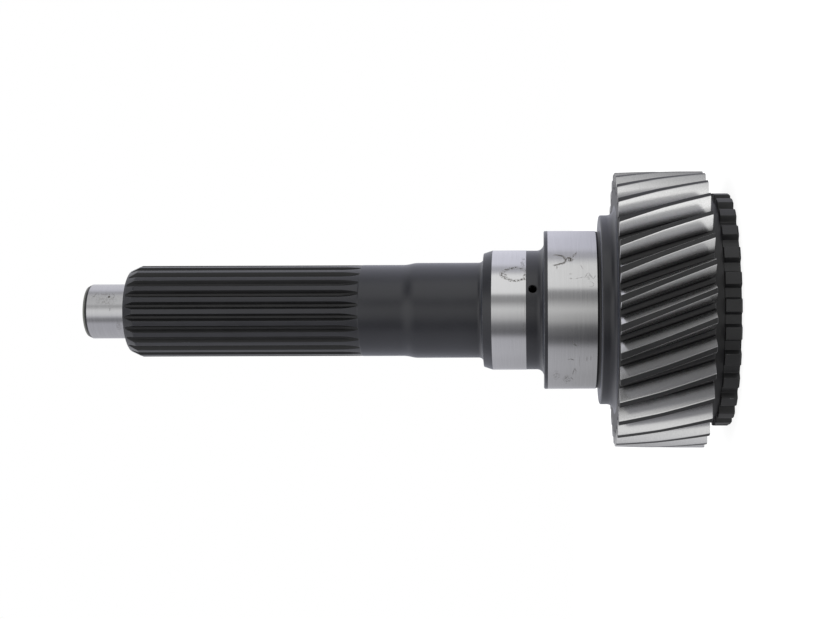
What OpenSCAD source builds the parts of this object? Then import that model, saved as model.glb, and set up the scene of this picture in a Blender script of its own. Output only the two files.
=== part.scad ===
// Input shaft of a heavy gearbox, forged and turned as one piece.
// It stands on its dog ring: +Z runs along the shaft axis, up to the pilot, and the origin is
// the centre of the end face.

/* [Dog ring] */
// Diameter over the dog teeth
dog_tip_d = 130; // [110:0.5:150]
// Number of dog teeth
dog_teeth = 28; // [18:1:40]
// Radial height of a dog tooth
dog_tooth_h = 3.5; // [2:0.1:5]
// Width of a dog tooth across its tip
dog_land = 6.4; // [4:0.1:7]
// Slope of a dog tooth's flank from the radial direction, in degrees
dog_flank = 18.5; // [5:0.5:25]
// Width of the dog ring along the axis
dog_w = 8.8; // [6:0.1:14]
// Tip bevel at the open end of the dog teeth, along the axis
dog_bevel_w = 0.8; // [0.5:0.1:4]
// Tip bevel at the open end of the dog teeth, in radius
dog_bevel_h = 0.5; // [0.3:0.1:2]
// Direction of one dog tooth, in degrees from +X towards +Y
dog_phase = -88.3; // [-180:0.1:180]

/* [Neck] */
// Diameter of the neck between the dog ring and the gear
neck_d = 122; // [106:0.5:122.5]
// Width of the neck along the axis
neck_w = 5.4; // [3:0.1:10]

/* [Gear] */
// Number of gear teeth
gear_teeth = 32; // [30:1:36]
// Normal module
gear_module = 4.25; // [4.1:0.05:4.75]
// Helix angle at the pitch circle, left hand, in degrees
gear_helix = 20.2; // [10:0.1:25]
// Normal pressure angle, in degrees
gear_pressure = 22.5; // [20:0.5:24]
// Profile shift, as a share of the module
gear_shift = 0.1; // [0:0.01:0.2]
// Face width of the gear
gear_w = 49.3; // [36:0.1:65]
// Bevel along the tip corners of the teeth
gear_tip_break = 0.3; // [0.1:0.05:0.6]
// Bevel at the upper ends of the tooth tips
gear_end_bevel = 0.3; // [0.2:0.1:2]
// Bevel at their lower ends
gear_foot_bevel = 0.3; // [0.2:0.1:2]
// Width over which the tooth tips fall towards their upper ends
gear_relief_w = 22; // [10:0.5:30]
// How far they fall there, in radius
gear_relief_h = 0.7; // [0:0.05:1]
// Radius of the fillet at the tooth root
gear_root_fillet = 1.3; // [0.8:0.1:1.5]
// Direction of one tooth at the gear's lower end, in degrees from +X towards +Y
gear_phase = -94; // [-180:0.1:180]

/* [Flange] */
// Diameter of the flange above the gear
flange_d = 105.8; // [96:0.2:112]
// Width of the flange along the axis
flange_w = 8.5; // [6:0.1:16]
// Fillet between the flange and the gear
flange_fillet = 4.5; // [1:0.1:5]
// Bevel at the flange's upper rim
flange_bevel = 0.6; // [0.2:0.1:1]

/* [Rear bearing seat] */
// Diameter of the rear bearing seat
rear_seat_d = 88.4; // [82:0.1:94]
// Length of the rear bearing seat, with its grinding groove
rear_seat_w = 30.8; // [22:0.1:45]
// Bevel at the rear bearing seat's upper edge
rear_seat_bevel = 0.5; // [0.2:0.1:1.5]
// Width of the grinding groove beside the flange
groove_w = 2.2; // [1.5:0.1:4]
// Depth of the grinding groove
groove_depth = 0.5; // [0.2:0.05:0.6]

/* [Front bearing seat] */
// Diameter of the front bearing seat
front_seat_d = 66.8; // [60:0.1:72]
// Length of the ground part of the front bearing seat
front_seat_w = 18.75; // [12:0.05:30]
// Diameter of the relief beside it, which holds the oil hole
relief_d = 66.5; // [59:0.1:70]
// Length of the relief, with its fillet
relief_w = 9.7; // [8:0.1:16]
// Fillet between the relief and the rear seat's end face
relief_fillet = 3.9; // [2:0.1:5]
// Length of the bevel at the front seat's upper end
nose_w = 5; // [2:0.1:8]
// Height of that bevel in radius
nose_h = 1.65; // [0.5:0.05:3]

/* [Shaft] */
// Diameter of the shaft above the front bearing seat
shaft_d = 53.2; // [51.6:0.1:56]
// Length of that shaft
shaft_w = 38.55; // [25:0.05:60]
// Fillet between the shaft and the front bearing seat
shaft_fillet = 3; // [0.5:0.1:4]
// Length of the cone down to the shank
cone_w = 4.7; // [2:0.1:10]
// Diameter of the shank behind the spline
shank_d = 51; // [50.9:0.1:51.4]
// Length of the shank
shank_w = 24.7; // [15:0.1:60]

/* [Clutch spline] */
// Diameter over the spline teeth
spline_tip_d = 50.8; // [49:0.1:50.8]
// Number of spline teeth
spline_teeth = 24; // [18:1:26]
// Length of the spline, with its lead and its run-out
spline_w = 128.7; // [70:0.1:180]
// Depth of a spline groove
spline_depth = 2.1; // [1.5:0.05:2.5]
// Width of a groove at the tooth tips
spline_gap = 4.3; // [3.5:0.05:4.8]
// Width of a groove at its root
spline_root = 1.3; // [0.8:0.05:2]
// Radius of the run-out at the lower end of the grooves
runout_r = 30; // [15:1:60]
// Length of the lead bevel at the upper end
lead_w = 5.7; // [2:0.1:8]
// Height of the lead bevel in radius
lead_h = 2.7; // [1:0.1:3]
// Direction of one spline tooth, in degrees from +X towards +Y
spline_phase = -90.5; // [-180:0.1:180]

/* [Pilot] */
// Diameter of the pilot, which runs in the flywheel's bearing
pilot_d = 30.3; // [25:0.1:38]
// Length of the pilot
pilot_w = 24.4; // [15:0.1:40]
// Length of the bevel at the pilot's end
pilot_bevel_w = 2.4; // [1:0.1:4]
// Height of that bevel in radius
pilot_bevel_h = 1.15; // [0.5:0.05:2]
// Mouth of the 60 degree centre in the pilot's end
centre_mouth_d = 8; // [4:0.5:12]
// Drill of that centre
centre_drill_d = 3.15; // [2:0.05:4]
// Depth of that drill hole
centre_depth = 9; // [7:0.5:15]

/* [Spigot seat] */
// Bore of the spigot bearing's seat in the gear's end
spigot_d = 80; // [60:0.5:90]
// Depth of that seat
spigot_depth = 32; // [20:0.5:50]
// Bevel at the mouth of the seat
spigot_bevel = 1.5; // [0.5:0.1:3]

/* [Oil ways] */
// Bore of the oil way along the axis
gallery_d = 10; // [6:0.5:16]
// Bore of the cross hole in the relief
oil_hole_d = 4.2; // [3:0.1:6]
// Height of the cross hole above the relief's lower end
oil_hole_rise = 6; // [5:0.1:7]
// Direction of the cross hole, in degrees from +X towards +Y
oil_hole_angle = -69.9; // [-180:0.1:180]
// Countersink of the cross hole's mouth, in radius
oil_hole_sink = 0.4; // [0.1:0.1:1]

/* [Hidden] */
$fn = 96;
// Depth to which one form is sunk into its neighbour before they are fused
bury = 0.05;
// Reach of a cutter past the surface that it opens
past = 1;
// Angle of a drill's point
drill_point = 118;
steel = "#3b3c40";
ground = "#c9c9cc";

// Heights of the steps, from the end face up
neck_z = dog_w;
gear_z = neck_z + neck_w;
flange_z = gear_z + gear_w;
rear_seat_z = flange_z + flange_w;
relief_z = rear_seat_z + rear_seat_w;
front_seat_z = relief_z + relief_w;
nose_z = front_seat_z + front_seat_w;
shaft_z = nose_z + nose_w;
cone_z = shaft_z + shaft_w;
shank_z = cone_z + cone_w;
spline_z = shank_z + shank_w;
pilot_z = spline_z + spline_w;
top_z = pilot_z + pilot_w;

// Radii of the steps
dog_tip_r = dog_tip_d / 2;
dog_root_r = dog_tip_r - dog_tooth_h;
neck_r = neck_d / 2;
flange_r = flange_d / 2;
rear_seat_r = rear_seat_d / 2;
relief_r = relief_d / 2;
front_seat_r = front_seat_d / 2;
nose_r = front_seat_r - nose_h;
shaft_r = shaft_d / 2;
shank_r = shank_d / 2;
spline_tip_r = spline_tip_d / 2;
spline_root_r = spline_tip_r - spline_depth;
pilot_r = pilot_d / 2;

// Involute of the helical gear, in its transverse plane
gear_alpha = atan(tan(gear_pressure) / cos(gear_helix));
gear_pitch_r = gear_teeth * gear_module / cos(gear_helix) / 2;
gear_base_r = gear_pitch_r * cos(gear_alpha);
gear_tip_r = gear_pitch_r + gear_module * (1 + gear_shift);
gear_root_r = gear_pitch_r - gear_module * (1.25 - gear_shift);
gear_twist = gear_w * tan(gear_helix) / gear_pitch_r * 180 / PI;
flank_steps = 3;
fillet_steps = 2;
gear_slices = 7;

// Involute function, in degrees
function inv(a) = tan(a) * 180 / PI - a;

// Half angle of a gear tooth at radius r
function half_tooth(r) =
    (90 + 2 * gear_shift * tan(gear_pressure) * 180 / PI) / gear_teeth
    + inv(gear_alpha) - inv(acos(gear_base_r / r));

// One side of a gear tooth, from the root to the tip corner, as [radius, angle from the tooth's middle]
function tooth_side() =
    let(start_r = gear_root_r + gear_root_fillet, end_r = gear_tip_r - gear_tip_break)
    concat(
        [for (i = [0:fillet_steps - 1])
            let(t = 90 * (1 - i / fillet_steps))
            [gear_root_r + gear_root_fillet * (1 - sin(t)),
             half_tooth(start_r) + gear_root_fillet * (1 - cos(t)) / gear_root_r * 180 / PI]],
        [for (i = [0:flank_steps])
            let(r = start_r + (end_r - start_r) * i / flank_steps)
            [r, half_tooth(r)]],
        [[gear_tip_r, half_tooth(end_r) - gear_tip_break / gear_tip_r * 180 / PI]]);

// One gear tooth with half a gap on either side, as [radius, angle]
function tooth() =
    let(side = tooth_side(), last = len(side) - 1)
    concat(
        [[gear_root_r, -180 / gear_teeth]],
        [for (p = side) [p[0], -p[1]]],
        [for (i = [last:-1:0]) side[i]]);

// The outline of the gear at height z above its lower end, with no point beyond radius limit
function gear_ring(z, limit) =
    [for (j = [0:gear_teeth - 1], p = tooth())
        let(a = p[1] + gear_phase + 360 * j / gear_teeth - gear_twist * z / gear_w)
        [min(p[0], limit) * cos(a), min(p[0], limit) * sin(a), z]];

// The polygon inside the gear's end faces, with one corner for each tooth
function hub_ring(z) =
    let(r = (gear_root_r + neck_r) / 2)
    [for (j = [0:gear_teeth - 1])
        let(a = gear_phase + 360 * (j - 0.5) / gear_teeth - gear_twist * z / gear_w)
        [r * cos(a), r * sin(a), z]];

// Triangles of a gear end face that faces up, whose outline and hub start at the given points
function end_face(outline, hub) =
    let(m = len(tooth()), n = m * gear_teeth)
    concat(
        [for (j = [0:gear_teeth - 1], i = [0:m - 1])
            [hub + j, outline + (j * m + i + 1) % n, outline + j * m + i]],
        [for (j = [0:gear_teeth - 1])
            let(k = (j + 1) % gear_teeth)
            [hub + j, hub + k, outline + k * m]],
        [[for (j = [gear_teeth - 1:-1:0]) hub + j]]);

function turned_over(face) = [for (i = [len(face) - 1:-1:0]) face[i]];

// The helical gear: one outline for each level along its width, joined by strips of quads
module gear() {
    step = (gear_w - gear_foot_bevel - gear_end_bevel) / gear_slices;
    levels = concat([0], [for (i = [0:gear_slices]) gear_foot_bevel + i * step], [gear_w]);
    top = len(levels) - 1;
    n = len(tooth()) * gear_teeth;
    function relief(z) = gear_relief_h * max(z - gear_w + gear_relief_w, 0) / gear_relief_w;
    function cut(z) = max(gear_foot_bevel - z, gear_end_bevel + z - gear_w, 0) + relief(z);
    outlines = [for (z = levels, p = gear_ring(z, gear_tip_r - cut(z))) p];
    hub = n * (top + 1);
    strips = [for (k = [0:top - 1], i = [0:n - 1])
        let(a = k * n + i, b = k * n + (i + 1) % n)
        [a, a + n, b + n, b]];
    lower = [for (f = end_face(0, hub)) turned_over(f)];
    upper = end_face(n * top, hub + gear_teeth);
    color(steel)
    translate([0, 0, gear_z])
    polyhedron(
        points = concat(outlines, hub_ring(0), hub_ring(gear_w)),
        faces = concat(strips, lower, upper));
}

// The dog ring: a toothed disc with the tips bevelled at its open end
module dog_ring() {
    spread = 2 * dog_tooth_h * tan(dog_flank);
    color(steel)
    intersection() {
        linear_extrude(dog_w)
        intersection() {
            circle(dog_tip_r);
            union() {
                circle(dog_root_r);
                for (i = [0:dog_teeth - 1])
                    rotate(dog_phase + 360 * i / dog_teeth)
                    polygon([
                        [dog_root_r - dog_tooth_h, -dog_land / 2 - spread],
                        [dog_tip_r + dog_tooth_h, -dog_land / 2 + spread / 2],
                        [dog_tip_r + dog_tooth_h, dog_land / 2 - spread / 2],
                        [dog_root_r - dog_tooth_h, dog_land / 2 + spread]]);
            }
        }
        rotate_extrude()
        polygon([
            [0, -past],
            [dog_tip_r - dog_bevel_h - past * dog_bevel_h / dog_bevel_w, -past],
            [dog_tip_r + dog_bevel_h, 2 * dog_bevel_w],
            [dog_tip_r + dog_bevel_h, dog_w + past],
            [0, dog_w + past]]);
    }
}

// A hollow corner: the square beside a round fillet of radius r, with the round part cut out
module fillet(r) {
    difference() {
        translate([-bury, -bury])
        square(r + bury);
        translate([r, r])
        circle(r);
    }
}

// Half section of the turned body: radius to the right, height up
module section() {
    difference() {
        union() {
            polygon([
                [0, neck_z / 2],
                [neck_r, neck_z / 2],
                [neck_r, gear_z + gear_w / 2],
                [flange_r, gear_z + gear_w / 2],
                [flange_r, rear_seat_z - flange_bevel],
                [flange_r - flange_bevel, rear_seat_z],
                [rear_seat_r, rear_seat_z],
                [rear_seat_r, relief_z - rear_seat_bevel],
                [rear_seat_r - rear_seat_bevel, relief_z],
                [relief_r, relief_z],
                [relief_r, front_seat_z],
                [front_seat_r, front_seat_z],
                [front_seat_r, nose_z],
                [nose_r, shaft_z],
                [shaft_r, shaft_z],
                [shaft_r, cone_z],
                [shank_r, shank_z],
                [shank_r, spline_z],
                [spline_tip_r, spline_z],
                [spline_tip_r, pilot_z - lead_w],
                [spline_tip_r - lead_h, pilot_z],
                [pilot_r, pilot_z],
                [pilot_r, top_z - pilot_bevel_w],
                [pilot_r - pilot_bevel_h, top_z],
                [0, top_z]]);
            translate([flange_r, flange_z])
            fillet(flange_fillet);
            translate([relief_r, relief_z])
            fillet(relief_fillet);
            translate([shaft_r, shaft_z])
            fillet(shaft_fillet);
        }
        translate([rear_seat_r, rear_seat_z + groove_w / 2])
        grinding_groove();
    }
}

// Round-bottomed groove beside the flange, so that a wheel can grind the seat up to its shoulder
module grinding_groove() {
    r = (groove_w * groove_w / 4 + groove_depth * groove_depth) / (2 * groove_depth);
    translate([r - groove_depth, 0])
    circle(r);
}

module turned_body() {
    color(ground)
    rotate_extrude()
    section();
}

// One spline groove, from its run-out up past the lead bevel
module spline_groove() {
    slope = (spline_gap - spline_root) / 2 / spline_depth;
    over = spline_depth + past;
    half = spline_root / 2;
    sweep = acos((runout_r - over) / runout_r);
    length = sqrt(runout_r * runout_r - pow(runout_r - spline_depth, 2));
    translate([0, 0, spline_z + length])
    linear_extrude(spline_w)
    polygon([
        [spline_root_r, -half],
        [spline_root_r + over, -half - over * slope],
        [spline_root_r + over, half + over * slope],
        [spline_root_r, half]]);
    translate([spline_root_r + runout_r, 0, spline_z + length])
    rotate([90, 0, 0])
    rotate([0, 0, 178])
    rotate_extrude(angle = sweep + 2)
    polygon([
        [runout_r, -half],
        [runout_r, half],
        [runout_r - over, half + over * slope],
        [runout_r - over, -half - over * slope]]);
}

module splined_body() {
    difference() {
        turned_body();
        color(steel)
        for (i = [0:spline_teeth - 1])
            rotate(spline_phase + 360 * (i + 0.5) / spline_teeth)
            spline_groove();
    }
}

// Seat of the spigot bearing, open at the gear's end
module spigot_seat() {
    r = spigot_d / 2;
    translate([0, 0, -past])
    cylinder(h = spigot_depth + past, r = r);
    translate([0, 0, -past])
    cylinder(h = spigot_bevel + past, r1 = r + spigot_bevel + past, r2 = r);
}

// Oil way along the axis, and the cross hole that feeds it from the relief
module oil_ways() {
    end_z = relief_z + oil_hole_rise + oil_hole_d;
    r = oil_hole_d / 2;
    translate([0, 0, spigot_depth - past])
    cylinder(h = end_z - spigot_depth + past, d = gallery_d);
    translate([0, 0, end_z])
    cylinder(h = gallery_d / 2 / tan(drill_point / 2), d1 = gallery_d, d2 = 0);
    translate([0, 0, relief_z + oil_hole_rise])
    rotate([0, 90, oil_hole_angle]) {
        cylinder(h = relief_r + past, r = r);
        translate([0, 0, relief_r - oil_hole_sink])
        cylinder(h = oil_hole_sink + past, r1 = r, r2 = r + oil_hole_sink + past);
    }
}

// Centre in the pilot's end, on which the shaft is turned and ground
module centre() {
    cone_h = (centre_mouth_d - centre_drill_d) / 2 / tan(30);
    translate([0, 0, top_z - cone_h])
    cylinder(h = cone_h + past, d1 = centre_drill_d, d2 = centre_mouth_d + 2 * past * tan(30));
    translate([0, 0, top_z - centre_depth])
    cylinder(h = centre_depth, d = centre_drill_d);
}

module input_shaft() {
    difference() {
        union() {
            splined_body();
            gear();
            dog_ring();
        }
        color(ground)
        spigot_seat();
        color(steel)
        oil_ways();
        color(ground)
        centre();
    }
}

input_shaft();
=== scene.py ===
# Input shaft of a heavy gearbox, turned, cut and ground as one piece of steel.
# It stands on its dog ring, with Z along the axis. Sizes are in millimetres and degrees until the
# finished mesh is brought to metres.
from math import acos, atan, atan2, cos, degrees, pi, radians, sin, sqrt, tan

import bmesh
import bpy
from mathutils import Matrix, Vector


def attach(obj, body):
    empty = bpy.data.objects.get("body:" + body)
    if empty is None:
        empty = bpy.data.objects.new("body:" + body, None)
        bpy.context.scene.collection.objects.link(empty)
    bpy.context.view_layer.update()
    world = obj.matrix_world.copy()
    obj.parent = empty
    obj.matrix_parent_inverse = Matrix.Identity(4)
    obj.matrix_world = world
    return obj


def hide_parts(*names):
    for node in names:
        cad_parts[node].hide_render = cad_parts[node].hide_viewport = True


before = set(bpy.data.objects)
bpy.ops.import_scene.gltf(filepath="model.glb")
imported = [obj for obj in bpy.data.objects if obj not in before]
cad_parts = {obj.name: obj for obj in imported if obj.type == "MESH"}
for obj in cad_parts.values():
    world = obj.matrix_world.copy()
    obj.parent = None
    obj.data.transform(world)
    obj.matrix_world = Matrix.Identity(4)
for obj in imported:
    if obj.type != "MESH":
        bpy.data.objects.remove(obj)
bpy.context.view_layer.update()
print("frame loaded:", sorted(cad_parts))

perMetre = 1000         # millimetres in a metre
roundSides = 160        # flat sides of a turned surface
sharpAngle = 35         # an edge steeper than this stays crisp
weldDistance = 0.001    # points nearer than this become one
finishes = ["black", "dull", "seat", "flank", "spline", "groove", "rubbed"]


# Small tools for outlines and rings

def polar(radius, angle):
    return Vector((radius * cos(radians(angle)), radius * sin(radians(angle))))


def roundedCorner(before, corner, after, radius, steps):
    toBefore = (before - corner).normalized()
    toAfter = (after - corner).normalized()
    half = toBefore.angle(toAfter) / 2
    if radius < 0.001 or half > radians(89.5):     # nothing to round, or as good as straight
        return [corner.copy() for i in range(steps + 1)]
    reach = radius / tan(half)
    centre = corner + (toBefore + toAfter).normalized() * radius / sin(half)
    start = corner + toBefore * reach - centre
    end = corner + toAfter * reach - centre
    sweep = start.angle(end)
    arc = []
    for i in range(steps + 1):
        t = i / steps
        blended = start * sin((1 - t) * sweep) + end * sin(t * sweep)
        arc.append(centre + blended / sin(sweep))
    return arc


def inset(outline, pitch, distance):
    # Moves one pitch of a toothed outline inwards; its neighbours are the same outline, turned.
    turn = Matrix.Rotation(radians(pitch), 2)
    back = Matrix.Rotation(radians(-pitch), 2)
    ring = [back @ outline[-2]] + outline + [turn @ outline[1]]
    moved = []
    for before, point, after in zip(ring, ring[1:], ring[2:]):
        along = (after - before).normalized()
        moved.append(point - Vector((along.y, -along.x)) * distance)
    return moved


def skin(bm, upper, lower, finish="black"):
    # Faces between two rings around the axis. The first ring comes first on the way from the pilot,
    # over the outside and back up the bore. A ring may be one point, and the counts may differ.
    index = finishes.index(finish)
    count, other = len(upper), len(lower)
    if count == other:
        faces = [(upper[i - 1], lower[i - 1], lower[i], upper[i]) for i in range(count)]
    elif count == 1:
        faces = [(upper[0], lower[i], lower[(i + 1) % other]) for i in range(other)]
    elif other == 1:
        faces = [(upper[i], lower[0], upper[(i + 1) % count]) for i in range(count)]
    else:
        faces = []
        upperAngles = [atan2(v.co.y, v.co.x) for v in upper]
        lowerAngles = [atan2(v.co.y, v.co.x) for v in lower]
        upperAngles.append(upperAngles[0] + 2 * pi)
        lowerAngles.append(lowerAngles[0] + 2 * pi)
        i = j = 0
        while i < count or j < other:
            if j == other or (i < count and upperAngles[i + 1] <= lowerAngles[j + 1]):
                faces.append((upper[i % count], lower[j % other], upper[(i + 1) % count]))
                i += 1
            else:
                faces.append((upper[i % count], lower[j % other], lower[(j + 1) % other]))
                j += 1
    for corners in faces:
        bm.faces.new(corners).material_index = index


def sortedRing(points):
    return sorted(points, key=lambda v: atan2(v.co.y, v.co.x))


# Turned surfaces. A corner is radius, height, rounding and the finish of the surface that follows it.

shaftEnd = {
    "centreDrill": 1.575,
    "centreMouth": 4.0,
    "centreDepth": 9.0,
    "pilotRadius": 15.15,
    "pilotFoot": 332.9,
    "top": 357.3,
    "bevelWidth": 2.4,
    "bevelHeight": 1.15,
    "bevelSplit": 0.48,     # the rubbed share of the bevel
    "splineFaceRadius": 22.7,
    "faceRise": 0.5,
    "faceDrop": 1.06,
}
shaftBody = {
    "shankRadius": 25.5,
    "shankTop": 204.0,
    "coneTop": 179.5,
    "shaftRadius": 26.6,
    "coneFoot": 174.8,
    "coneRounding": 18.0,
    "noseFace": 136.25,
    "noseRadius": 31.75,
    "noseFillet": 3.0,
    "frontSeatTop": 131.25,
    "frontSeatRadius": 33.4,
    "reliefTop": 112.5,
    "reliefRadius": 33.25,
    "reliefStep": 0.06,
    "reliefFillet": 3.9,
    "rearSeatFace": 102.8,
    "rearSeatRadius": 44.2,
    "rearSeatBevel": 0.5,
    "rearSeatGround": 100.7,
    "shoulder": 72.0,
    "grooveWidth": 2.2,
    "grooveDepth": 0.5,
    "grooveSteps": 7,
    "flangeRadius": 52.9,
    "flangeBevel": 0.6,
    "flangeFoot": 63.5,
    "flangeFillet": 4.5,
    "gearFace": 1.0,        # the gear's end face beyond that fillet
}
gearEnd = {
    "neckRadius": 61.0,
    "neckTop": 14.2,
    "neckFoot": 8.8,
    "gearFace": 1.6,        # the gear's other end face beside the neck
    "boreRadius": 40.0,
    "boreDepth": 32.0,
    "boreBevel": 1.5,
    "faceWidth": 14.0,
    "galleryRadius": 5.0,
    "galleryEnd": 113.0,
    "galleryTip": 116.0,
}


def endCorners(s):
    coneDepth = (s["centreMouth"] - s["centreDrill"]) / tan(radians(30))
    split = s["bevelSplit"]
    top, pilot, face = s["top"], s["pilotRadius"], s["splineFaceRadius"]
    return [
        (0, top - s["centreDepth"], 0, "black"),
        (s["centreDrill"], top - s["centreDepth"], 0, "black"),
        (s["centreDrill"], top - coneDepth, 0, "seat"),
        (s["centreMouth"], top, 0.2, "seat"),
        (pilot - s["bevelHeight"], top, 0.3, "rubbed"),
        (pilot - s["bevelHeight"] * (1 - split), top - s["bevelWidth"] * split, 0, "black"),
        (pilot, top - s["bevelWidth"], 0.3, "seat"),
        (pilot, s["pilotFoot"], 0.5, "black"),
        (face, s["pilotFoot"], 0.3, "spline"),
        (face + s["faceRise"], s["pilotFoot"] - s["faceDrop"], 0, "spline"),
    ]


def bodyCorners(s):
    shoulder, flange = s["shoulder"], s["flangeRadius"]
    seat, bevel = s["rearSeatRadius"], s["rearSeatBevel"]
    grooveRadius = (s["grooveWidth"] ** 2 / 4 + s["grooveDepth"] ** 2) / (2 * s["grooveDepth"])
    grooveMiddle = shoulder + s["grooveWidth"] / 2
    groove = []
    for i in range(1, s["grooveSteps"]):
        height = s["grooveWidth"] * (0.5 - i / s["grooveSteps"])
        deep = sqrt(grooveRadius ** 2 - height ** 2) - (grooveRadius - s["grooveDepth"])
        groove.append((seat - deep, grooveMiddle + height, 0, "black"))
    return [
        (s["shankRadius"], s["shankTop"], 0, "dull"),
        (s["shankRadius"], s["coneTop"], s["coneRounding"], "dull"),
        (s["shaftRadius"], s["coneFoot"], s["coneRounding"], "dull"),
        (s["shaftRadius"], s["noseFace"], s["noseFillet"], "dull"),
        (s["noseRadius"], s["noseFace"], 0.35, "dull"),
        (s["frontSeatRadius"], s["frontSeatTop"], 0.2, "seat"),
        (s["frontSeatRadius"], s["reliefTop"], 0, "dull"),
        (s["reliefRadius"], s["reliefTop"] - s["reliefStep"], 0, "dull"),
        (s["reliefRadius"], s["rearSeatFace"], s["reliefFillet"], "dull"),
        (seat - bevel, s["rearSeatFace"], 0.2, "dull"),
        (seat, s["rearSeatFace"] - bevel, 0.2, "dull"),
        (seat, s["rearSeatGround"], 0, "seat"),
        (seat, shoulder + s["grooveWidth"], 0, "black"),
        *groove,
        (seat, shoulder, 0, "dull"),
        (flange - s["flangeBevel"], shoulder, 0.5, "dull"),
        (flange, shoulder - s["flangeBevel"], 0.5, "dull"),
        (flange, s["flangeFoot"], s["flangeFillet"], "dull"),
        (flange + s["flangeFillet"] + s["gearFace"], s["flangeFoot"], 0, "dull"),
    ]


def neckCorners(s):
    return [
        (s["neckRadius"] + s["gearFace"], s["neckTop"], 0, "black"),
        (s["neckRadius"], s["neckTop"], 0.8, "black"),
        (s["neckRadius"], s["neckFoot"], 0, "black"),
    ]


def boreCorners(s):
    mouth = s["boreRadius"] + s["boreBevel"]
    return [
        (mouth + s["faceWidth"], 0, 0, "black"),
        (mouth, 0, 0.25, "black"),
        (s["boreRadius"], s["boreBevel"], 0.25, "seat"),
        (s["boreRadius"], s["boreDepth"], 1.2, "black"),
        (s["galleryRadius"], s["boreDepth"], 0.3, "black"),
        (s["galleryRadius"], s["galleryEnd"], 0, "black"),
        (0, s["galleryTip"], 0, "black"),
    ]


turning = {
    "wideFrom": 1.5,        # a wider rounding gets more steps
    "wideSteps": 12,
    "fineSteps": 3,
    "wornBelow": 0.4,       # a sharper edge shows wear
    "longFrom": 1.2,        # a longer straight gets a ring near both its ends
    "margin": 0.35,
}


def turnedRows(corners, t):
    # Every corner becomes its arc, and each long straight gets a ring near its ends, so that
    # shading and wear stay at the edge.
    points = [Vector(c[:2]) for c in corners]
    rows = []
    for i, (radius, height, rounding, finish) in enumerate(corners):
        if rounding and 0 < i < len(corners) - 1:
            steps = t["wideSteps"] if rounding > t["wideFrom"] else t["fineSteps"]
            arc = roundedCorner(points[i - 1], points[i], points[i + 1], rounding, steps)
            worn = 1.0 if rounding < t["wornBelow"] else 0.0
            for p in arc[:-1]:
                rows.append((p, corners[i - 1][3], worn))
            rows.append((arc[-1], finish, worn))
        else:
            rows.append((points[i], finish, 0.0))
    spread = []
    for (p, finish, worn), (q, _, _) in zip(rows, rows[1:]):
        spread.append((p, finish, worn))
        length = (q - p).length
        if length > t["longFrom"]:
            step = (q - p) * t["margin"] / length
            spread.append((p + step, finish, 0.0))
            spread.append((q - step, finish, 0.0))
    return spread + [rows[-1]]


def turn(bm, corners):
    # Turns the corners around the axis and returns the first and the last ring.
    wear = bm.verts.layers.float["wear"]
    rows = turnedRows(corners, turning)
    rings = []
    for p, finish, worn in rows:
        if p.x < weldDistance:      # on the axis
            ring = [bm.verts.new((0, 0, p.y))]
        else:
            ring = []
            for k in range(roundSides):
                spot = polar(p.x, -180 + 360 * k / roundSides)
                ring.append(bm.verts.new((spot.x, spot.y, p.y)))
        for v in ring:
            v[wear] = worn
        rings.append(ring)
    for upper, lower, row in zip(rings, rings[1:], rows):
        skin(bm, upper, lower, row[1])
    return rings[0], rings[-1]


# Helpers for objects and nodes

def addObject(name, data):
    made = bpy.data.objects.new(name, data)
    bpy.context.scene.collection.objects.link(made)
    return made


def evaluatedMesh(source):
    graph = bpy.context.evaluated_depsgraph_get()
    return bpy.data.meshes.new_from_object(source.evaluated_get(graph))


def addNode(tree, kind, **settings):
    made = tree.nodes.new(kind)
    for key, value in settings.items():
        setattr(made, key, value)
    return made


def feed(tree, socket, value):
    # Joins a socket to another one, or gives it a plain value.
    if isinstance(value, bpy.types.NodeSocket):
        tree.links.new(value, socket)
    elif socket.type == "RGBA":
        socket.default_value = (*value, 1)
    else:
        socket.default_value = value


def placeNode(tree, kind, output, values, **settings):
    # A node with its inputs, given by name or number; what comes back is one of its outputs.
    made = addNode(tree, kind, **settings)
    for key, value in values.items():
        feed(tree, made.inputs[key], value)
    return made.outputs[output]


def maths(tree, operation, *values):
    return placeNode(tree, "ShaderNodeMath", "Value", dict(enumerate(values)), operation=operation)


def vectorMaths(tree, operation, *values):
    output = "Value" if operation == "LENGTH" else "Vector"
    return placeNode(tree, "ShaderNodeVectorMath", output, dict(enumerate(values)), operation=operation)


def fade(tree, value, start, end):
    # 0 at start and 1 at end, with nothing beyond
    inputs = {"Value": value, "From Min": start, "From Max": end}
    return placeNode(tree, "ShaderNodeMapRange", "Result", inputs, clamp=True)


def blend(tree, factor, a, b, kind="RGBA"):
    return placeNode(tree, "ShaderNodeMix", "Result", {"Factor": factor, "A": a, "B": b}, data_type=kind)


def noise(tree, vector, detail):
    return placeNode(tree, "ShaderNodeTexNoise", "Fac", {"Vector": vector, "Scale": 1, "Detail": detail})


# Toothed surfaces. One pitch is made here, and Geometry Nodes repeats it around the axis.

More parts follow.
